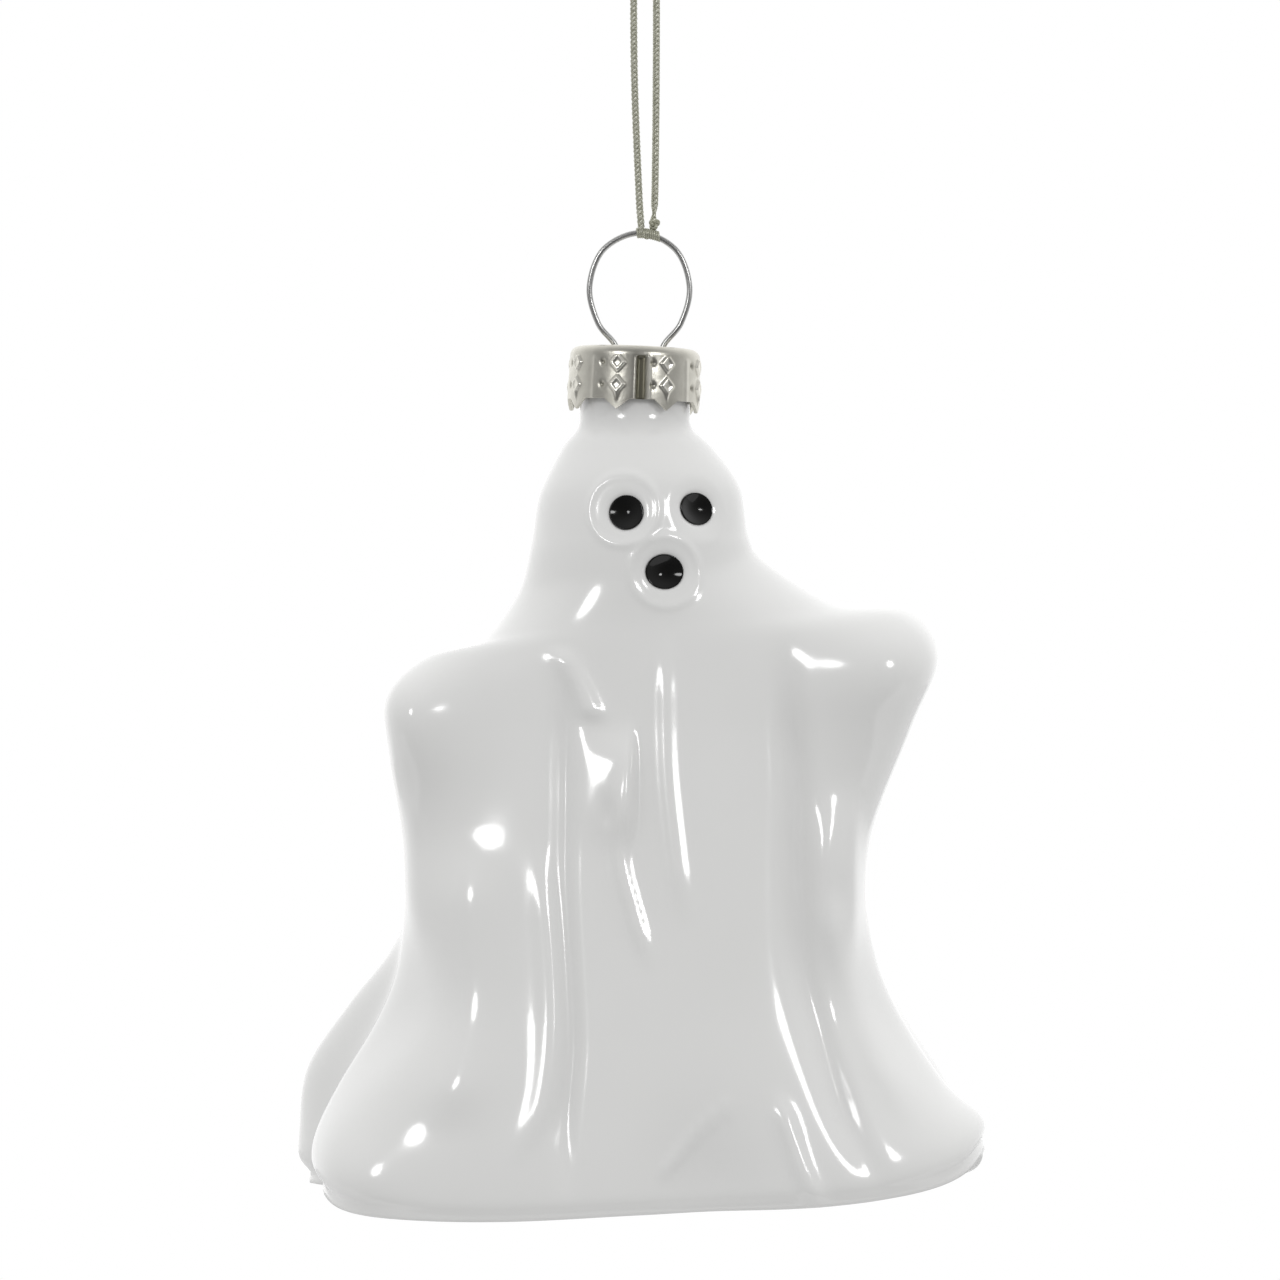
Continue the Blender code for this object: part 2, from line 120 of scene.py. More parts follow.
def placed(name, data, stands_for):
    """Links a piece, lets it ride with the ornament and hides the imported node it stands for."""
    piece = bpy.data.objects.new(name, data)
    bpy.context.collection.objects.link(piece)
    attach(piece, "root")
    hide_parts(stands_for)
    print(name, "has", sum(len(face.vertices) - 2 for face in data.polygons), "triangles")
    return piece


# %% [markdown]
# Two small helpers shape nearly everything below. The first one goes smoothly from 0 to 1, for forms that
# fade in and out. The second one draws a smooth curve through a few points, which is how a fold, a wire or
# an outline is given with only a handful of numbers.

# %% A soft step and a smooth curve
def ease(value):
    """Goes smoothly from 0 to 1."""
    value = np.clip(value, 0.0, 1.0)
    return value * value * (3.0 - 2.0 * value)


def through(points, place):
    """A smooth curve through the points, read at places counted in points."""
    points = np.asarray(points, float)
    last = len(points) - 1
    start = np.clip(np.floor(place), 0, last - 1).astype(int)
    part = (place - start)[:, None]
    p, q, r, s = (points[np.clip(start + step, 0, last)] for step in (-1, 0, 1, 2))
    bend = (2 * p - 5 * q + 4 * r - s) * part + (3 * (q - r) + s - p) * part * part
    return q + 0.5 * part * (r - p + bend)


print("halfway up the soft step:", ease(0.5))

# %% [markdown]
# The cord comes next, because its route also settles how high the model reaches. It leaves the knot over the
# hook, runs down in front of the ring's wire, passes under it and goes back up behind it to the knot. The
# photograph shows it taut, so its route is almost straight, with one tight turn round the wire.

# %% The cord's route
KNOT_HEIGHT = 5.6
KNOT_RADIUS = 1.9
KNOT_GAP = 0.3
CORD_ROUTE = (
    (-0.46, 0.0, KNOT_HEIGHT - KNOT_RADIUS - KNOT_GAP),
    (-0.9, 0.0, 1.2),
    (-1.12, 0.0, -5.0),
    (-1.05, 0.0, -16.0),
    (-0.62, -0.25, -27.0),
    (-0.42, -0.75, -30.2),
    (-0.30, -0.96, -31.3),
    (0.0, -0.55, -32.15),
    (0.3, 0.55, -32.15),
    (0.62, 0.96, -31.3),
    (0.82, 0.8, -30.2),
    (1.0, 0.25, -27.0),
    (1.12, 0.0, -16.0),
    (1.12, 0.0, -5.0),
    (0.9, 0.0, 1.2),
    (0.46, 0.0, KNOT_HEIGHT - KNOT_RADIUS - KNOT_GAP),
)


def evenly(points, count):
    """Points at equal steps along the smooth curve through the points given, in metres, and its length."""
    dense = through(points, np.linspace(0, len(points) - 1, 4000)) * MM
    steps = np.linalg.norm(np.diff(dense, axis=0), axis=1)
    run = np.concatenate(([0.0], np.cumsum(steps)))
    marks = np.linspace(0, run[-1], count)
    return np.stack([np.interp(marks, run, dense[:, axis]) for axis in range(3)], axis=1), run[-1]


cord_line, cord_length = evenly(CORD_ROUTE, 700)
print("cord length in mm:", round(cord_length / MM, 1))

# %% [markdown]
# To wind anything round a line, two directions across the line are needed at each of its points. They are
# carried along from the first point, each time only tilted to stay square to the line, so that a rod or a
# yarn on them doesn't twist by itself.

# %% Rods round a line
def frames_along(line):
    """Two directions across the line at each of its points, carried along without twist."""
    tangents = np.gradient(line, axis=0)
    tangents /= np.linalg.norm(tangents, axis=1)[:, None]
    side = np.zeros_like(line)
    first = np.cross(tangents[0], (0.0, 1.0, 0.0))
    side[0] = first / np.linalg.norm(first)
    for index in range(1, len(line)):
        flat = side[index - 1] - tangents[index] * np.dot(side[index - 1], tangents[index])
        side[index] = flat / np.linalg.norm(flat)
    return side, np.cross(tangents, side)


def rod(line, radius, columns, name, share=0.0):
    """A closed rod round a line of points, of one radius or one for each point."""
    side, other = frames_along(line)
    count = len(line)
    radius = np.broadcast_to(radius, (count,))

    def formula(row, turn):
        index = np.clip(row - 1, 0, count - 1)
        size = np.where((row == 0) | (row == count + 1), 0.0, radius[index])
        across = side[index] * np.cos(turn)[:, None] + other[index] * np.sin(turn)[:, None]
        return line[index] + across * size[:, None], np.full(len(row), share)

    return shaped(name, count + 2, columns, formula)


def joined(name, parts):
    """One mesh from several, with their attributes kept."""
    whole = bmesh.new()
    for part in parts:
        whole.from_mesh(part)
        bpy.data.meshes.remove(part)
    data = bpy.data.meshes.new(name)
    whole.to_mesh(data)
    whole.free()
    data.shade_smooth()
    return data


print("the cord's route has", len(cord_line), "points to wind the yarns round")

# %% [markdown]
# The cord is a round braid of metallised yarn. Eight yarns wind round a straight core, four to the left and
# four to the right, and each passes over one of the others and then under the next. Modelling the yarns
# makes the sparkle come from real crossings, so it holds from any side.

# %% The braid
YARNS = 8
YARN_RADIUS = 0.135
YARN_SIDES = 6
YARN_WAVE = 0.22
BRAID_RADIUS = 0.215
BRAID_PITCH = 1.9


def braid(name, line, tight):
    """Yarns wound both ways round a line. Tight is the share of its thickness that the braid keeps."""
    side, other = frames_along(line)
    steps = np.linalg.norm(np.diff(line, axis=0), axis=1)
    run = np.concatenate(([0.0], np.cumsum(steps))) / MM
    parts = []
    for yarn in range(YARNS):
        hand = 1 if yarn % 2 == 0 else -1
        angle = hand * math.tau * run / BRAID_PITCH + math.tau * (yarn // 2) / (YARNS // 2)
        lift = 1.0 + YARN_WAVE * hand * np.cos(YARNS // 2 * math.tau * run / BRAID_PITCH)
        reach = BRAID_RADIUS * lift * tight * MM
        wound = line + side * (np.cos(angle) * reach)[:, None] + other * (np.sin(angle) * reach)[:, None]
        share = 0.5 + 0.5 * hand * (1 - yarn / 12)
        parts.append(rod(wound, YARN_RADIUS * tight * MM, YARN_SIDES, f"yarn_{yarn}", share))
    return joined(name, parts)


print(YARNS, "yarns make a turn every", BRAID_PITCH, "mm")

# %% [markdown]
# At the ring the cord is pulled tight. Its strands draw in towards the wire and get thinner there, and the
# strand on the right is nipped just over the small knot.

# %% How the strands draw in at the ring
HUG_HEIGHT, HUG_OVER = -29.4, 2.0
BEND_HEIGHT, BEND_OVER, BEND_LIFT = -31.0, 1.1, 0.44
THIN_HEIGHT, THIN_OVER, THIN_SHARE = -30.5, 0.9, 0.6
NIP_HEIGHT, NIP_TALL, NIP_SHARE = -29.3, 0.5, 0.45

height = cord_line[:, 2] / MM
hug = ease((HUG_HEIGHT - height) / HUG_OVER)
cord_path = cord_line * np.stack([np.ones_like(height), 1.0 - 0.5 * hug, np.ones_like(height)], axis=1)
cord_path[:, 2] += BEND_LIFT * MM * ease((BEND_HEIGHT - height) / BEND_OVER)
nip = NIP_SHARE * np.exp(-((height - NIP_HEIGHT) / NIP_TALL) ** 2)
tight = 1.0 - THIN_SHARE * ease((THIN_HEIGHT - height) / THIN_OVER) - np.where(cord_line[:, 0] > 0, nip, 0.0)
print("the cord keeps at least", round(float(tight.min()), 2), "of its thickness")

# %% [markdown]
# The cord is also wound round the wire in a close coil, and ends in a small tight knot above it. At this
# size the yarns can't be told apart, so both are plain rods: the coil follows the wire's bend, and the knot
# is a short trefoil. They belong to the cord, so all of it becomes one mesh.

# %% The cord with its coil and its small knot
RING_LOW = -31.3
COIL_START, COIL_END, COIL_PITCH = -0.85, 1.45, 0.21
COIL_RADIUS, COIL_ROD = 0.43, 0.115
RING_BEND = 10.5
SLIP_X, SLIP_Z, SLIP_SIZE, SLIP_ROD = 0.95, -30.42, 0.17, 0.2

coil_x = np.linspace(COIL_START, COIL_END, 500)
coil_turn = math.tau * coil_x / COIL_PITCH
coil_middle = RING_LOW - (coil_x + 0.55) ** 2 / RING_BEND
coil_line = np.stack([coil_x, COIL_RADIUS * np.cos(coil_turn),
                      coil_middle + COIL_RADIUS * np.sin(coil_turn)], axis=1) * MM

slip_turn = np.linspace(0.06, 0.97, 160) * math.tau
slip_line = np.stack([SLIP_X + SLIP_SIZE * (np.sin(slip_turn) + 1.5 * np.sin(2 * slip_turn)),
                      0.2 * np.sin(3 * slip_turn) - 0.1,
                      SLIP_Z + SLIP_SIZE * (np.cos(slip_turn) - 1.5 * np.cos(2 * slip_turn))], axis=1) * MM

cord_parts = [braid("strands", cord_path, tight),
              rod(coil_line, COIL_ROD * MM, 8, "coil", share=0.35),
              rod(slip_line, SLIP_ROD * MM, 8, "slip", share=0.15)]
cord = placed("braided_cord", joined("braided_cord", cord_parts), "hanging_cord")

# %% [markdown]
# Both ends of the cord come together in an overhand knot over the hook. The pair of cords makes one turn
# round itself and comes out at the top as two short cut ends. A trefoil curve, opened at the bottom and at
# the top, is the centre line of such a knot.

# %% The knot
def knot_line(offset, lean):
    """One of the two cords in the knot: in from below, round itself and out at the top."""
    start = [(offset, 0.0, KNOT_HEIGHT - KNOT_RADIUS + 0.05)]
    turns = np.linspace(0.18, 0.82, 22) * math.tau
    knot = [(0.56 * (math.sin(t) + 1.55 * math.sin(2 * t)) + 0.35 * offset,
             0.50 * (math.cos(t) - 1.45 * math.cos(2 * t)),
             KNOT_HEIGHT + (1.15 + 0.25 * abs(offset)) * -math.cos(t) * 0.55 + 0.42 * math.sin(3 * t))
            for t in turns]
    end = [(offset * 0.9, 0.0, KNOT_HEIGHT + 1.75), (offset + lean * 0.5, 0.0, KNOT_HEIGHT + 3.0),
           (offset + lean, 0.0, KNOT_HEIGHT + 4.5)]
    return evenly(start + knot + end, 300)[0]


KNOT_OFFSET, KNOT_LEAN = 0.42, 0.9
knot_tight = np.full(300, 0.98)
knot_parts = [braid(f"knot_{side}", knot_line(side * KNOT_OFFSET, side * KNOT_LEAN), knot_tight)
              for side in (-1, 1)]
knot = placed("overhand_knot", joined("overhand_knot", knot_parts), "cord_knot")

# %% [markdown]
# The ghost is one bubble of glass, blown into a mould. Its outline is given at a few levels, from the rim of
# the neck to the underside. Each level says how far the front reaches and how high it is there, the same for
# the right side and for the left side, and how many rows of faces follow it. Heights are in millimetres over
# the ghost's foot. Between the sides, the outline runs round a curve that is an ellipse at the head and
# squarer at the hem. Low down, the cloth spreads behind and tucks in before, by a share for each side.

# %% The outline of the glass
HOOK_HEIGHT = 128.3
GLASS_X = -0.7
WALL = 1.3
NECK_RADIUS = 5.5
RIM_HEIGHT = 84.65
BACK_FULLER = 0.2
NECK_LEAN = -0.3
SIDE_SPACING = 0.15
FRONT_SPACING = 0.15
GLASS_COLUMNS = 480
ROWS_FINER = 3
HOLLOW_END = 13.4
HOLLOW_FLOOR = 9.5

LEVELS = np.array((
    (NECK_RADIUS - 0.1, RIM_HEIGHT, NECK_RADIUS - 0.1, RIM_HEIGHT, NECK_RADIUS - 0.1, RIM_HEIGHT, 2),
    (NECK_RADIUS, 79.6, NECK_RADIUS, 79.6, NECK_RADIUS, 79.6, 1),
    (5.8, 77.6, 5.7, 77.5, 5.7, 77.5, 2),
    (7.6, 75.4, 7.6, 75.6, 7.4, 75.5, 4),
    (9.9, 71.6, 10.2, 71.6, 9.8, 71.0, 7),
    (10.8, 66.4, 11.1, 66.6, 10.7, 65.8, 7),
    (10.8, 61.8, 12.9, 64.0, 12.2, 60.6, 4),
    (10.8, 58.4, 19.6, 60.1, 16.5, 55.7, 3),
    (11.1, 55.4, 27.0, 59.5, 21.8, 54.4, 3),
    (11.6, 50.8, 30.1, 54.8, 25.3, 50.6, 3),
    (12.3, 45.6, 27.4, 47.6, 25.0, 44.8, 4),
    (14.0, 34.6, 23.1, 35.4, 23.5, 34.8, 4),
    (15.8, 23.4, 24.1, 23.8, 24.3, 23.6, 4),
    (17.8, 11.8, 30.6, 12.7, 30.8, 12.3, 3),
    (18.9, 4.2, 34.6, 8.8, 33.0, 6.0, 2),
    (18.8, 1.5, 34.4, 6.9, 31.8, 3.2, 1),
    (17.2, 0.4, 33.2, 5.2, 30.4, 1.7, 2),
    (8.2, 1.7, 15.6, 2.4, 15.2, 1.9, 1),
))
SPREAD_RIGHT, SPREAD_LEFT = 0.08, 0.25
TUCK_RIGHT, TUCK_LEFT = 0.11, 0.14
print("the outline has", len(LEVELS), "levels and", int(LEVELS[:, 6].sum()) * ROWS_FINER, "rows")

# %% [markdown]
# The cloth's folds are long hills and valleys on that outline. Each one is given by the heights of its top
# and bottom, the places across that it runs through on its way down, its half width to the left and to the
# right, and how far it rises. A fold that rises by less than nothing is a groove. The numbers come from
# following each bright line of the photograph down the glass.

# %% The folds
FRONT_FOLDS = (
    (59.0, 1.0, (14.0, 14.6, 15.4, 15.4, 15.8, 17.8, 20.4, 24.0), 1.6, 1.5, -1.45),
    (57.0, 1.0, (-7.3, -7.2, -7.2, -7.3, -6.9, -6.5, -7.0, -6.6), 1.3, 1.1, -0.8),
    (37.0, 5.0, (-9.8, -8.9, -8.3, -8.3, -9.2, -11.8), 1.5, 1.1, 0.55),
    (56.0, 48.0, (-7.8, -6.6, -5.2, -4.2), 1.3, 1.3, 0.7),
    (46.0, 24.0, (-0.9, -1.7, -1.7, -0.3, 1.2), 0.9, 0.9, 0.5),
    (58.0, 28.0, (2.8, 2.8, 3.0, 3.8, 4.7), 0.95, 0.95, 0.4),
    (38.0, 8.0, (-17.0, -17.0, -17.2, -18.2), 3.1, 3.1, 1.35),
    (42.0, 25.0, (-22.4, -22.6, -22.6), 1.2, 1.2, 0.5),
    (43.0, 8.0, (19.4, 18.6, 19.0, 21.0, 23.6, 26.4), 1.5, 2.0, 1.2),
    (13.0, 0.0, (13.6, 15.4, 17.9), 1.0, 1.0, 0.7),
    (12.5, 4.0, (9.8, 5.2, 2.2), 0.8, 0.8, 0.35),
)
BACK_FOLDS = (
    (57.0, 2.0, (-8.6, -9.4, -13.0), 2.6, 2.6, -2.1),
    (52.0, 2.0, (1.2, 1.0, -1.6), 3.0, 3.0, -1.6),
    (60.0, 2.0, (11.6, 12.0, 15.0), 2.6, 2.6, -2.1),
    (46.0, 8.0, (-17.4, -19.8, -22.0), 2.4, 2.4, 0.9),
    (46.0, 8.0, (20.4, 22.0, 24.0), 2.4, 2.4, 0.9),
)
INSIDE_WIDER = 1.6
INSIDE_RIDGE = 0.2


def fold_push(folds, across, up, inside):
    """How far the folds push the cloth out. Inside they are softer, so that the wall stays whole."""
    push = np.zeros_like(across)
    for top, bottom, line, wide_left, wide_right, rise in folds:
        down = np.clip((top - up) / (top - bottom), 0.0, 1.0)
        beside = across - through([(x,) for x in line], down * (len(line) - 1))[:, 0]
        wide = np.where(beside < 0, wide_left, wide_right) * (INSIDE_WIDER if inside else 1.0)
        fade = ease(4.0 * down) * ease(5.0 * (1.0 - down))
        push += (INSIDE_RIDGE if inside and rise > 0 else 1.0) * rise * fade * np.exp(-(beside / wide) ** 2)
    return push


print(len(FRONT_FOLDS), "folds in front and", len(BACK_FOLDS), "behind")

# %% [markdown]
# The arms end in round swellings, which catch the lamps as pairs of bright dots. They are spots: a place
# across and up, half widths to the left and to the right, half a height, and a rise. Spots that sink are
# dents. Two flat patches lie among the folds, each a slope between two edges, and flash as a whole.

# %% Swellings, dents and flat patches
FRONT_SPOTS = (
    (-23.6, 48.4, 4.6, 5.0, 7.4, 4.2),
    (-20.0, 40.0, 7.0, 7.0, 5.5, -0.5),
    (25.2, 54.1, 7.6, 5.0, 7.8, 3.6),
    (-2.9, 39.8, 0.8, 0.8, 1.1, -0.5),
    (19.6, 31.2, 1.5, 1.5, 2.4, -0.7),
    (7.2, 3.0, 6.0, 6.0, 6.0, -1.8),
    (-27.0, 4.0, 4.0, 4.0, 4.5, 1.0),
)
FRONT_FACETS = (
    (-6.4, -1.2, 42.2, 4.6, 1.4),
    (16.4, 21.0, 33.5, 6.5, 1.3),
)
PATCH_EDGE = 0.02
PATCH_FADE = 1.4
INSIDE_SPOT = 0.5
INSIDE_PATCH = 0.2


def spot_push(across, up, inside):
    """How far the round swellings, the dents and the flat patches push the cloth out."""
    push = np.zeros_like(across)
    for x, height, wide_left, wide_right, tall, rise in FRONT_SPOTS:
        wide = np.where(across < x, wide_left, wide_right)
        near = np.exp(-((across - x) / wide) ** 2 - ((up - height) / tall) ** 2)
        push += (INSIDE_SPOT if inside else 1.0) * rise * near
    for left, right, height, tall, rise in FRONT_FACETS:
        slope = (across - left) / (right - left)
        ramp = 0.5 * (slope + np.sqrt(slope ** 2 + PATCH_EDGE)) * (1.0 - ease((across - right) / PATCH_FADE))
        push += (INSIDE_PATCH if inside else 1.0) * rise * ramp * np.exp(-((up - height) / tall) ** 4)
    return push


print(len(FRONT_SPOTS), "spots and", len(FRONT_FACETS), "flat patches")

# %% [markdown]
# Where the mould pressed the eyes and the mouth in, the head has round sockets with a low lip, and each
# holds a smaller pit for its drop of enamel. The left eye sits off the middle of its socket, as it does in
# the photograph, so a feature has two places: one for the enamel and one for its socket.

# %% The sockets of the face
SOCKET_RADIUS = 3.4
SOCKET_DEPTH = 0.55
LIP_PLACE = 1.02
LIP_WIDE = 0.12
PIT_DEPTH = 0.6
PIT_WIDER = 1.35
PIT_REACH = 4.0
HEAD_RADIUS = 10.5
# Across, up, half width and half height of the enamel, then the socket's middle across and up, and its lip
LEFT_EYE = (-1.2, 68.8, 1.72, 1.72, -1.5, 69.1, 0.2)
RIGHT_EYE = (6.0, 69.2, 1.9, 1.6, 6.0, 69.2, 0.02)
MOUTH = (2.6, 63.0, 1.9, 1.72, 2.6, 63.0, 0.16)


def face_place(across, height):
    """A place on the front of the head, and the way out there."""
    turn = math.asin(across / HEAD_RADIUS)
    out = np.array((math.sin(turn), -math.cos(turn), 0.0))
    return out * HEAD_RADIUS + np.array((0, 0, height)), out


def press_sockets(points, inside):
    """Presses the eyes and the mouth into the head: a wide dimple with a lip, and a pit for the enamel."""
    moved = points.copy()
    for across, height, wide, tall, ring_across, ring_height, lip in (LEFT_EYE, RIGHT_EYE, MOUTH):
        middle, out = face_place(across, height)
        away = points - middle
        depth = away @ out
        beside = np.linalg.norm(away - depth[:, None] * out, axis=1)
        within = (beside ** 2 - away[:, 2] ** 2) / wide ** 2 + (away[:, 2] / tall) ** 2
        pit = PIT_DEPTH * np.clip(1.0 - within / PIT_WIDER ** 2, 0.0, 1.0) ** 2
        ring_middle, ring_out = face_place(ring_across, ring_height)
        away = points - ring_middle
        ring = np.linalg.norm(away - (away @ ring_out)[:, None] * ring_out, axis=1) / SOCKET_RADIUS
        dimple = SOCKET_DEPTH * np.clip(1.0 - ring ** 2, 0.0, 1.0) ** 2
        raised = 0.0 if inside else lip * np.exp(-((ring - LIP_PLACE) / LIP_WIDE) ** 2)
        moved += np.where(depth > -PIT_REACH, raised - dimple - pit, 0.0)[:, None] * out
    return moved


print("the left eye's socket is", round(2 * SOCKET_RADIUS, 1), "mm wide")

# %% [markdown]
# This is the whole outside of the glass as one formula: a turn round the axis and a place between the levels
# go in, and a point comes out. First comes the bare outline, then the grooves in the skirt's sides, then the
# folds, and last the sockets.

# %% The outside of the glass
SKIRT_GROOVE = 2.4


def glass_surface(turn, place, inside=False):
    """Points on the outside of the glass, in millimetres over its foot, or a softer form for its inside."""
    front, front_up, right, right_up, left, left_up = through(LEVELS[:, :6], place).T
    cosine, sine = np.cos(turn), np.sin(turn)
    on_right = cosine > 0
    side = np.where(on_right, right, left)
    side_up = np.where(on_right, right_up, left_up)
    spread = np.where(on_right, SPREAD_RIGHT, SPREAD_LEFT)
    tuck = np.where(on_right, TUCK_RIGHT, TUCK_LEFT)
    low = ease((20.0 - front_up) / 16.0)
    skirt = ease((32.0 - front_up) / 13.0)
    behind, before = ease(-1.6 * sine), ease(1.6 * sine)
    cloth = ease((63.0 - front_up) / 12.0)
    square = 2.0 + (0.4 + 0.9 * before) * cloth + (np.where(on_right, 1.2, 2.2) - 0.9 * before) * low
    narrow = np.where(on_right, 5.0 * behind, 5.5)
    lean = np.abs(cosine) ** (2.0 + narrow * low)
    reach = side * (1.0 + skirt * (1.0 - 0.7 * low) * (spread * behind - tuck * before))
    depth = front + BACK_FULLER * cloth * behind
    corner = (np.abs(cosine) ** square + np.abs(sine) ** square) ** (1.0 / square)
    across = reach * cosine / corner
    away = -depth * sine / corner
    up = front_up + (side_up - front_up) * lean + 0.35 * low * np.sin(5.0 * turn + 0.6)
    groove = SKIRT_GROOVE * ease((28.0 - up) / 20.0) * np.exp(-((away - 1.5) / 4.0) ** 2)
    across = across - np.sign(across) * groove * ease(np.abs(across) / 12.0) * np.where(on_right, 0.35, 1.0)
    facing = np.abs(sine) ** 0.7 * ease((up - 0.2) / 3.0)
    before_push = facing * fold_push(FRONT_FOLDS, across, up, inside)
    before_push = before_push + ease(2.0 * sine) * spot_push(across, up, inside)
    behind_push = facing * fold_push(BACK_FOLDS, across, up, inside)
    away = away - np.sign(sine) * np.where(sine > 0, before_push, behind_push)
    points = np.stack([across + NECK_LEAN * ease((up - 72.0) / 6.0), away, up], axis=1)
    on_face = (up > 58.0) & (up < 75.0) & (sine > 0)
    points[on_face] = press_sockets(points[on_face], inside)
    return points


foremost = glass_surface(np.array([math.pi / 2]), np.array([5.0]))[0]
print("the front of the head is", round(-foremost[1], 2), "mm before the axis")

# %% [markdown]
# The inside is the same surface one wall farther in. The way in is square to two steps along the surface,
# one round it and one down it. Its folds are softer than those outside, as in real blown glass, and one
# sign serves the whole bubble, so that the wall can't turn over in a deep groove.

# %% The inside of the glass
def inside_surface(turn, place):
    """Points one wall in from the outside."""
    step = 0.05
    here = glass_surface(turn, place, True)
    round_it = glass_surface(turn + step, place, True) - glass_surface(turn - step, place, True)
    last = len(LEVELS) - 1.001
    down = glass_surface(turn, np.minimum(place + step, last), True)
    down -= glass_surface(turn, np.maximum(place - step, 0), True)
    inward = np.cross(round_it, down)
    inward /= np.maximum(np.linalg.norm(inward, axis=1), 1e-9)[:, None]
    if np.sum(inward[:, :2] * here[:, :2]) > 0:
        inward = -inward
    return here + inward * WALL


def to_world(points):
    """From millimetres over the ghost's foot to metres under the hook."""
    return (points + np.array((GLASS_X, 0, -HOOK_HEIGHT))) * MM


print("the wall is", WALL, "mm thick")

# %% [markdown]
# The bubble is one tube that runs from the underside up the outside, over the rim and down the inside. The
# outside has many more rows than the inside, which is only seen through the neck. The columns stand closer
# together in front, because the folds and the face lie there.

# %% The glass
outer_places = []
for index, level in enumerate(LEVELS[:-1]):
    steps = int(level[6]) * ROWS_FINER
    outer_places += [index + step / steps for step in range(steps)]
outer_places.append(len(LEVELS) - 1.001)
inner_places = [place for place in outer_places[::ROWS_FINER * 2] if place < HOLLOW_END]
glass_places = np.array(outer_places[::-1] + inner_places)
outer_count = len(outer_places)


def glass_formula(row, turn):
    """The bubble, from its underside up the outside, over the rim and down the inside."""
    turn = turn + SIDE_SPACING * np.sin(2.0 * turn) + FRONT_SPACING * np.cos(turn)
    index = np.clip(row - 1, 0, len(glass_places) - 1)
    place = glass_places[index]
    points = np.where((index < outer_count)[:, None], glass_surface(turn, place), inside_surface(turn, place))
    points[row == 0] = (0, 0, LEVELS[-1, 1] + 0.3)
    points[row == len(glass_places) + 1] = (0, 0, HOLLOW_FLOOR)
    return to_world(points), np.zeros(len(row))


glass_mesh = shaped("ghost_glass", len(glass_places) + 2, GLASS_COLUMNS, glass_formula)
glass = placed("ghost_glass", glass_mesh, "ghost_body")

# %% [markdown]
# The eyes and the mouth are drops of black enamel that have set in their sockets. Each follows the floor of
# its socket, so it is hollow like a saucer, with a rounded edge where the drop ends. Casting rays from
# in front of the face onto the glass finds that floor exactly.

# %% The enamel
glass_tree = BVHTree.FromObject(glass, bpy.context.evaluated_depsgraph_get())
ENAMEL_LIFT = 0.22
ENAMEL_UNDER = 0.10


def enamel_drop(name, node, feature):
    """A saucer of enamel on the floor of its socket."""
    across, height, wide, tall = feature[:4]
    middle, out = face_place(across, height)
    aside = np.cross(out, (0.0, 0.0, 1.0))
    upward = np.array((0.0, 0.0, 1.0))
    edge = np.linspace(0, math.pi / 2, 7)
    share = np.concatenate((np.linspace(0.0, 0.9, 6), 0.93 + 0.07 * np.sin(edge)[1:],
                            0.93 + 0.07 * np.cos(edge)[1:], np.linspace(0.9, 0.0, 14)))
    thick = np.concatenate((np.zeros(6), 0.5 - 0.5 * np.cos(edge)[1:],
                            0.5 + 0.5 * np.sin(edge)[1:], np.ones(14)))

    def formula(row, turn):
        places = []
        for one_row, one_turn in zip(row, turn):
            sideways = aside * math.cos(one_turn) * wide + upward * math.sin(one_turn) * tall
            start = middle + sideways * share[one_row] + out * 5
            floor = glass_tree.ray_cast(Vector(to_world(start)), Vector(-out))[0]
            lift = -ENAMEL_UNDER + (ENAMEL_UNDER + ENAMEL_LIFT) * thick[one_row]
            places.append(np.array(floor) + out * lift * MM)
        return np.array(places), np.zeros(len(row))

    return placed(name, shaped(name, len(share), 56, formula), node)


enamel = [enamel_drop(*drop) for drop in (("enamel_left_eye", "left_eye", LEFT_EYE),
                                          ("enamel_right_eye", "right_eye", RIGHT_EYE),
                                          ("enamel_mouth", "mouth", MOUTH))]

# %% [markdown]
# The cap is stamped from thin sheet: a crown with eight points, each under a pair of raised diamonds with a
# small dimple beside them. Low ribs stand between the pairs, and one groove with a raised edge runs down the
# side near the front, as in the photograph. All of it is one relief: how far the side is pushed out at each
# place.

# %% The cap's sizes and relief
CAP_WALL = 0.35
CAP_X = -0.25
CAP_RADIUS = 6.5
CAP_SHOULDER = 0.9
CAP_DEPTH = 5.3
CAP_POINTS = 8
CAP_POINT_DROP = 1.05
CAP_TURN = math.radians(-15)
CAP_TILT = math.radians(2)
CAP_TOP = RIM_HEIGHT + 0.45 + CAP_WALL
WIRE_RADIUS = 0.3
WIRE_X = 0.15
WAIST = 2.3
SECTOR = math.tau / CAP_POINTS
SEAM_TURN = math.radians(6)
DIAMOND_PLACES = (1.75, 3.95)
DIAMOND_RISE = 0.24
SEAM_DEPTH = 0.4


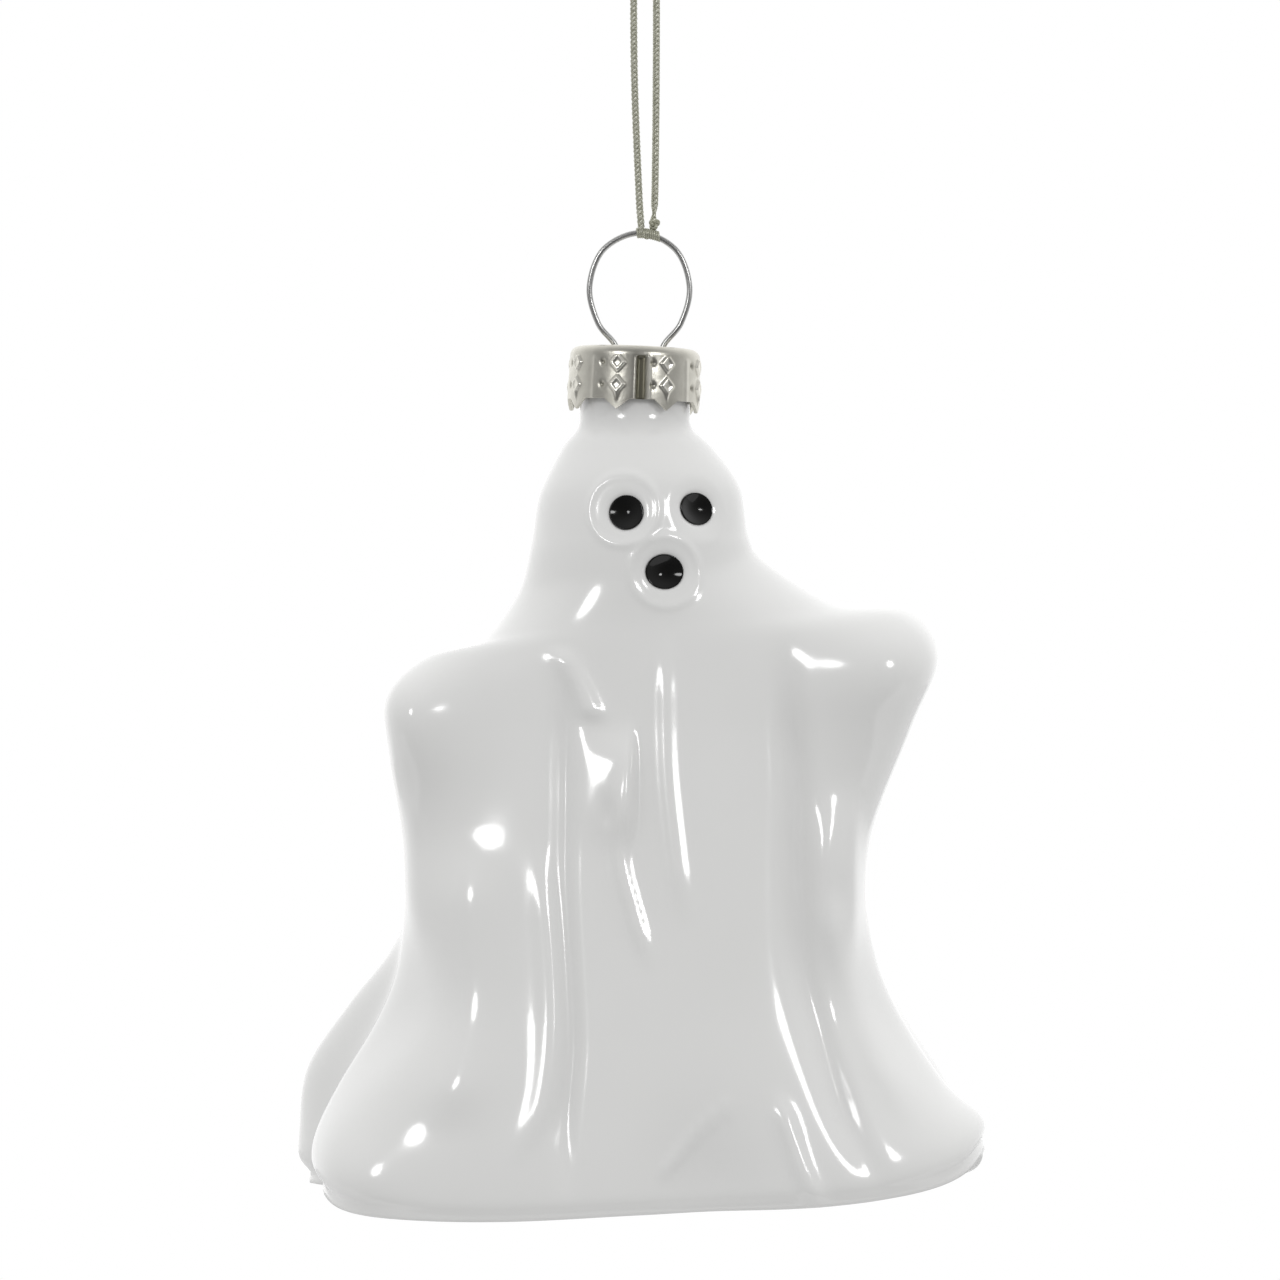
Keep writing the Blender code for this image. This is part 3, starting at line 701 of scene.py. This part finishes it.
def cap_relief(turn, down):
    """How far the stamping pushes the cap's side out."""
    beside = (turn - CAP_TURN + SECTOR / 2) % SECTOR - SECTOR / 2
    across = beside * CAP_RADIUS
    push = np.zeros_like(across)
    for middle in DIAMOND_PLACES:
        near = 1.0 - np.abs(across) / 0.92 - np.abs(down - middle) / 1.1
        push += DIAMOND_RISE * ease(3.4 * near) - 0.1 * ease(3.0 * near - 1.1)
        push -= 0.2 * np.exp(-((across + 1.6) / 0.26) ** 2 - ((down - middle) / 0.3) ** 2)
    rib = SECTOR / 2 * CAP_RADIUS - np.abs(across)
    push += 0.05 * np.exp(-(rib / 0.25) ** 2) * ease((down - 0.9) * 2.0)
    seam = ((turn - SEAM_TURN + math.pi) % math.tau - math.pi) * CAP_RADIUS
    tall = ease((down - 0.85) * 3.0)
    push -= SEAM_DEPTH * np.exp(-(seam / 0.5) ** 4) * tall
    push += 0.16 * np.exp(-((seam - 0.78) / 0.14) ** 2) * tall
    return push


def cap_drop(turn):
    """The extra length of the cap's side at its points."""
    beside = np.abs((turn - CAP_TURN + SECTOR / 2) % SECTOR - SECTOR / 2) * CAP_RADIUS
    return CAP_POINT_DROP * np.clip(1.0 - beside / 1.3, 0.0, 1.0)


print(CAP_POINTS, "points, one every", round(math.degrees(SECTOR)), "degrees")

# %% [markdown]
# The cap's section is a list of rows, each with a radius and a depth below its top: out over the top, round
# the shoulder, down the side, and back up the inside one sheet's thickness away. Spun round, it is a plain
# cup, and the formula then adds the relief, the points, a little flare and a slight tilt.

# %% The stamped cap
FLAT_RADIUS = CAP_RADIUS - CAP_SHOULDER
INSIDE_TOP = 1.4
FLARE = 0.12
shoulder = np.linspace(0, math.pi / 2, 9)
cap_rows = [(0.0, 0.0)] + [(FLAT_RADIUS * step / 12, 0.0) for step in range(1, 12)]
cap_rows += [(FLAT_RADIUS + CAP_SHOULDER * math.sin(a), CAP_SHOULDER * (1 - math.cos(a))) for a in shoulder]
cap_rows += [(CAP_RADIUS, CAP_SHOULDER + (CAP_DEPTH - CAP_SHOULDER) * step / 44) for step in range(1, 45)]
cap_outer = len(cap_rows)
cap_rows += [(CAP_RADIUS - CAP_WALL / 2, CAP_DEPTH + 0.05)]
cap_rows += [(CAP_RADIUS - CAP_WALL, CAP_DEPTH - (CAP_DEPTH - INSIDE_TOP) * step / 10) for step in range(11)]
inner_shoulder = CAP_SHOULDER - CAP_WALL
cap_rows += [(FLAT_RADIUS + inner_shoulder * math.sin(a), CAP_WALL + inner_shoulder * (1 - math.cos(a)))
             for a in shoulder[::-2]]
cap_rows += [(0.0, CAP_WALL)]
cap_rows = np.array(cap_rows)


def cap_formula(row, turn):
    """The crown, from the middle of its top down the outside and back up the inside."""
    radius, down = cap_rows[row, 0].copy(), cap_rows[row, 1].copy()
    turn = -turn + math.pi / 2
    side = down > CAP_SHOULDER + 0.1
    relief = np.where(side, cap_relief(turn, down), 0.0)
    radius += np.where(row < cap_outer, relief, 0.6 * relief * (down > 1.6))
    skirt = (down - CAP_SHOULDER) / (CAP_DEPTH - CAP_SHOULDER)
    down += np.where(side, cap_drop(turn) * ease(6.0 * skirt - 5.0), 0.0)
    radius += np.where(side, FLARE * ease(skirt), 0.0)
    local = np.stack([np.sin(turn) * radius, -np.cos(turn) * radius, -down], axis=1)
    cosine, sine = math.cos(CAP_TILT), math.sin(CAP_TILT)
    tilted = np.stack([local[:, 0] * cosine + local[:, 2] * sine, local[:, 1],
                       local[:, 2] * cosine - local[:, 0] * sine], axis=1)
    return to_world(tilted + np.array((CAP_X, 0, CAP_TOP))), relief


cap_mesh = shaped("stamped_cap", len(cap_rows), 400, cap_formula)
cap_mesh.set_sharp_from_angle(angle=math.radians(50))
cap = placed("stamped_cap", cap_mesh, "cap")

# %% [markdown]
# Two round holes in the top let the wire's legs through. Each is cut with a Boolean modifier and a short
# cylinder, and the cut mesh then takes the place of the plain one, so that no helper object stays behind.

# %% The holes for the wire
HOLE_RADIUS = 0.62
for side in (-1, 1):
    hole = bmesh.new()
    bmesh.ops.create_cone(hole, cap_ends=True, segments=32, radius1=HOLE_RADIUS * MM,
                          radius2=HOLE_RADIUS * MM, depth=3 * MM)
    middle = to_world(np.array((side * WAIST + WIRE_X, 0, CAP_TOP)))
    bmesh.ops.translate(hole, vec=middle, verts=hole.verts)
    drill_data = bpy.data.meshes.new("drill")
    hole.to_mesh(drill_data)
    hole.free()
    drill = bpy.data.objects.new("drill", drill_data)
    bpy.context.collection.objects.link(drill)
    cut = cap.modifiers.new("wire_hole", "BOOLEAN")
    cut.object = drill
    cut.operation = "DIFFERENCE"
    cap.data = bpy.data.meshes.new_from_object(cap.evaluated_get(bpy.context.evaluated_depsgraph_get()))
    cap.modifiers.clear()
    bpy.data.objects.remove(drill)
print("cap with its holes:", len(cap.data.vertices), "points")

# %% [markdown]
# The hanger is one length of spring wire. It makes the ring, narrows to a waist at the cap's two holes and
# spreads again inside the neck, where its legs bear on the glass and hold the cap down.

# %% The wire hanger
RING_HALF_WIDE = 5.0
RING_TALL = 11.55
LEG_SPREAD = 3.1
LEG_LONG = 14.95

half_ring = [(LEG_SPREAD - 0.25, -LEG_LONG), (LEG_SPREAD, -0.565 * LEG_LONG),
             (WAIST + 0.6 * (LEG_SPREAD - WAIST), -0.204 * LEG_LONG), (WAIST, 0.0),
             (0.83 * RING_HALF_WIDE, 0.221 * RING_TALL), (RING_HALF_WIDE, 0.533 * RING_TALL),
             (0.72 * RING_HALF_WIDE, 0.857 * RING_TALL), (0.0, RING_TALL)]
wire_route = [(-x, 0.0, z) for x, z in half_ring] + [(x, 0.0, z) for x, z in reversed(half_ring[:-1])]
wire_route = np.array(wire_route) + np.array((WIRE_X + GLASS_X, 0, CAP_TOP - HOOK_HEIGHT))
wire_line, wire_length = evenly(wire_route, 360)
hanger = placed("wire_ring", rod(wire_line, WIRE_RADIUS * MM, 20, "wire_ring"), "wire_hanger")
print("wire length in mm:", round(wire_length / MM, 1))

# %% [markdown]
# Finishes are graphs of nodes. To keep them readable, a number on its way through a graph is wrapped in a
# small class, so that masks can be added and multiplied like numbers. Each sum adds its Math node.

# %% A number on its way through a graph
class Flow:
    """A socket that can be added to, multiplied and so on."""

    def __init__(self, graph, socket):
        self.graph = graph
        self.socket = socket

    def _math(self, operation, *values):
        node = self.graph.node("ShaderNodeMath", {"operation": operation}, dict(enumerate(values)))
        return Flow(self.graph, node.outputs[0])

    def __add__(self, other):
        return self._math("ADD", self, other)

    __radd__ = __add__

    def __sub__(self, other):
        return self._math("SUBTRACT", self, other)

    def __rsub__(self, other):
        return self._math("SUBTRACT", other, self)

    def __mul__(self, other):
        return self._math("MULTIPLY", self, other)

    __rmul__ = __mul__

    def __pow__(self, other):
        return self._math("POWER", self, other)

    def limited(self):
        """The number kept between 0 and 1."""
        node = self.graph.node("ShaderNodeClamp", {}, {"Value": self})
        return Flow(self.graph, node.outputs[0])


# %% [markdown]
# The tree of nodes gets a few short ways to add to it. One method adds any node, with its settings first,
# and then the values or links of its sockets. The others are for what these finishes use again and again:
# noise, a number kept on the mesh, a colour between two colours, and bump.

# %% Adding nodes
class Graph:
    """A tree of nodes, with short ways to add to it."""

    def __init__(self, tree):
        self.tree = tree

    def node(self, kind, settings, values):
        """Adds a node: its settings first, then the values or links of its sockets."""
        made = self.tree.nodes.new(kind)
        for setting, value in settings.items():
            setattr(made, setting, value)
        for socket, value in values.items():
            self.give(made.inputs[socket], value)
        return made

    def give(self, socket, value):
        """Sets a socket to a value or links it to where the value comes from."""
        if isinstance(value, Flow):
            value = value.socket
        if isinstance(value, bpy.types.NodeSocket):
            self.tree.links.new(value, socket)
        else:
            socket.default_value = value

    def flow(self, kind, output):
        """One output of a node that needs no settings."""
        return Flow(self, self.node(kind, {}, {}).outputs[output])

    def noise(self, scale, detail):
        """Noise on the piece's own coordinates, as a number from 0 to 1."""
        place = self.node("ShaderNodeTexCoord", {}, {}).outputs["Object"]
        made = self.node("ShaderNodeTexNoise", {}, {"Vector": place, "Scale": scale, "Detail": detail})
        return Flow(self, made.outputs["Fac"])

    def attribute(self, name):
        """A number that the mesh carries at each point."""
        made = self.node("ShaderNodeAttribute", {"attribute_name": name}, {})
        return Flow(self, made.outputs["Fac"])

    def between(self, amount, first, second):
        """A colour between two colours."""
        made = self.node("ShaderNodeMix", {"data_type": "RGBA"},
                         {0: amount, 6: (*first, 1.0), 7: (*second, 1.0)})
        return made.outputs[2]

    def bump(self, height, distance, strength):
        """A normal that follows a height."""
        made = self.node("ShaderNodeBump", {}, {"Height": height, "Distance": distance, "Strength": strength})
        return made.outputs[0]


class Finish(Graph):
    """A material with one Principled shader."""

    def __init__(self, name, **constants):
        self.material = bpy.data.materials.new(name)
        self.material.use_nodes = True
        super().__init__(self.material.node_tree)
        self.shader = self.tree.nodes["Principled BSDF"]
        for socket, value in constants.items():
            self.feed(socket.replace("_", " "), value)

    def feed(self, socket, value):
        """Feeds one of the shader's inputs."""
        self.give(self.shader.inputs[socket], value)

    def paint(self, *pieces):
        """Puts the finish on pieces."""
        for piece in pieces:
            piece.data.materials.clear()
            piece.data.materials.append(self.material)
            print(piece.name, "is finished in", self.material.name)


# %% [markdown]
# Milk glass is white all through. It has a bright, wet gloss and hardly any colour of its own. A blown
# surface is never quite even, so a slow noise makes it swell by a few hundredths of a millimetre, which
# bends the reflections a little, as on the real thing. A second noise shifts the white by a shade.

# %% Milk glass
milk = Finish("milk_glass", IOR=1.5, Coat_Weight=0.5, Coat_Roughness=0.06, Coat_IOR=1.5)
cloudy = milk.noise(70, 3)
milk.feed("Base Color", milk.between(cloudy, (0.67, 0.67, 0.66), (0.70, 0.70, 0.693)))
milk.feed("Roughness", 0.13 + 0.05 * milk.noise(140, 2))
swell = milk.noise(95, 1) + 0.25 * milk.noise(320, 1)
milk.feed("Normal", milk.bump(swell, 0.00007, 0.5))
milk.paint(glass)

# %% [markdown]
# The enamel is nearly black and glossy. Its gloss is a little uneven, which softens the paired reflections
# of the lamps in the eyes.

# %% Black enamel
black = Finish("black_enamel", IOR=1.45)
black.feed("Base Color", black.between(black.noise(900, 2), (0.003, 0.003, 0.003), (0.006, 0.006, 0.0055)))
black.feed("Roughness", 0.07 + 0.06 * black.noise(500, 2))
black.paint(*enamel)

# %% [markdown]
# The cap is bright stamped metal with a faint champagne tint. Its hollows are rougher, and their colour is
# darkened as painted shade. The relief that shaped the mesh was kept on its points, so the finish can find
# those hollows.

# %% Champagne metal
crown = Finish("champagne_metal", Metallic=1.0)
# Painted shade: the colour runs from a dark tint in the relief's hollows to the bright tint on raised parts.
raised = (crown.attribute("share") * 2.6 + 0.72 + 0.3 * (crown.noise(900, 3) - 0.5)).limited()
crown.feed("Base Color", crown.between(raised, (0.22, 0.21, 0.16), (0.93, 0.91, 0.83)))
crown.feed("Roughness", 0.36 - 0.1 * raised + 0.08 * crown.noise(2500, 2))
crown.feed("Normal", crown.bump(crown.noise(1400, 3), 0.00003, 0.6))
crown.paint(cap)

# %% [markdown]
# Spring wire is drawn through a die, which leaves it bright with faint cloudy bands. A slow noise shifts both
# its grey and its roughness.

# %% Steel wire
steel = Finish("steel_wire", Metallic=1.0)
drawn = steel.noise(260, 2)
steel.feed("Base Color", steel.between(drawn, (0.50, 0.50, 0.49), (0.72, 0.72, 0.71)))
steel.feed("Roughness", 0.26 + 0.1 * drawn)
steel.paint(hanger)

# %% [markdown]
# Half of the cord's yarns are silver and half are a darker champagne. Each yarn is a twist of flat metallised
# fibres, so a fine noise along it breaks its gloss into flecks.

# %% Metallic yarn
yarn = Finish("metallic_yarn")
fleck = yarn.noise(4200, 3)
tone = (yarn.attribute("share") * 0.7 + 0.7 * (fleck - 0.4)).limited()
yarn.feed("Base Color", yarn.between(tone, (0.30, 0.30, 0.22), (0.84, 0.84, 0.74)))
yarn.feed("Metallic", 0.45 + 0.3 * tone)
yarn.feed("Roughness", 0.5 - 0.2 * fleck)
yarn.feed("Normal", yarn.bump(fleck, 0.00003, 0.7))
yarn.paint(cord, knot)

# %% [markdown]
# The ornament was photographed in a white studio with a pair of soft lamps in front, left and right, a
# little above it. They make the paired highlights on the arms and in the eyes. Round lamps of this size
# leave round dots on round forms and long streaks on the folds.

# %% Lamps
LAMP_DISTANCE = 0.7
lamp_target = Vector((0, 0, -0.08))


def soft_lamp(name, side, rise, wide, energy):
    """A round lamp that looks at the ornament, from so many degrees to the right and so many up."""
    side, rise = math.radians(side), math.radians(rise)
    data = bpy.data.lights.new(name, "AREA")
    data.shape = "DISK"
    data.size = wide
    data.energy = energy
    lamp = bpy.data.objects.new(name, data)
    direction = Vector((math.sin(side) * math.cos(rise), -math.cos(side) * math.cos(rise), math.sin(rise)))
    lamp.location = lamp_target + direction * LAMP_DISTANCE
    lamp.rotation_euler = direction.to_track_quat("Z", "Y").to_euler()
    bpy.context.collection.objects.link(lamp)
    print(name, "stands at", [round(part, 2) for part in lamp.location])


soft_lamp("lamp_left", -30, 20, 0.17, 0.78)
soft_lamp("lamp_right", 38, 20, 0.16, 0.78)

# %% [markdown]
# The rest of the light comes from the world, which is brighter behind the ornament than in front of it. That
# makes the glass pale at its edges, where it mirrors what stands behind, and a calm grey in the middle. In
# front, what the glass and the metal mirror is much darker than what lights them, as if the room behind the
# camera were dim. The camera itself sees plain white, which adds no light.

# %% The world
world = bpy.data.worlds.new("studio")
world.use_nodes = True
bpy.context.scene.world = world
studio = Graph(world.node_tree)
axes = studio.node("ShaderNodeSeparateXYZ", {}, {0: studio.flow("ShaderNodeTexCoord", "Generated")})
backward, upward = Flow(studio, axes.outputs["Y"]), Flow(studio, axes.outputs["Z"])
behind = (backward * 0.5 + upward * 0.1 + 0.5).limited() ** 1.5
seen = studio.flow("ShaderNodeLightPath", "Is Camera Ray")
mirrored = studio.flow("ShaderNodeLightPath", "Is Glossy Ray")
mirrored = mirrored + studio.flow("ShaderNodeLightPath", "Is Transmission Ray")
lighting = 0.57 + behind + 0.2 * upward
reflected = 0.10 + 1.05 * behind
level = lighting + mirrored.limited() * (reflected - lighting)
level = level + seen * (1.0 - level)
studio.give(studio.tree.nodes["Background"].inputs["Color"], (1, 1, 1, 1))
studio.give(studio.tree.nodes["Background"].inputs["Strength"], level)
print("the world's graph has", len(studio.tree.nodes), "nodes")

# %% [markdown]
# A plain pale floor lies well below and behind the ornament, which hangs in the air. It takes the soft
# shadow, and it glows for the camera alone, so that it blends into the white without lighting the glass.

# %% The floor
FLOOR_HALF_WIDE = 0.9
FLOOR_MIDDLE = (0, 0.7, -0.36)
FLOOR_GLOW = 0.9
floor_mesh = bmesh.new()
bmesh.ops.create_grid(floor_mesh, x_segments=8, y_segments=8, size=FLOOR_HALF_WIDE)
bmesh.ops.translate(floor_mesh, vec=FLOOR_MIDDLE, verts=floor_mesh.verts)
floor_data = bpy.data.meshes.new("floor")
floor_mesh.to_mesh(floor_data)
floor_mesh.free()
floor = bpy.data.objects.new("floor", floor_data)
bpy.context.collection.objects.link(floor)

pale = Finish("pale_floor", Roughness=0.9)
pale.feed("Base Color", pale.between(pale.noise(6, 2), (0.62, 0.62, 0.62), (0.66, 0.66, 0.66)))
glow = pale.node("ShaderNodeEmission", {}, {"Color": (1, 1, 1, 1), "Strength": 1.0})
showing = FLOOR_GLOW * pale.flow("ShaderNodeLightPath", "Is Camera Ray")
mixed = pale.node("ShaderNodeMixShader", {}, {0: showing, 1: pale.shader.outputs[0], 2: glow.outputs[0]})
pale.give(pale.tree.nodes["Material Output"].inputs["Surface"], mixed.outputs[0])
pale.paint(floor)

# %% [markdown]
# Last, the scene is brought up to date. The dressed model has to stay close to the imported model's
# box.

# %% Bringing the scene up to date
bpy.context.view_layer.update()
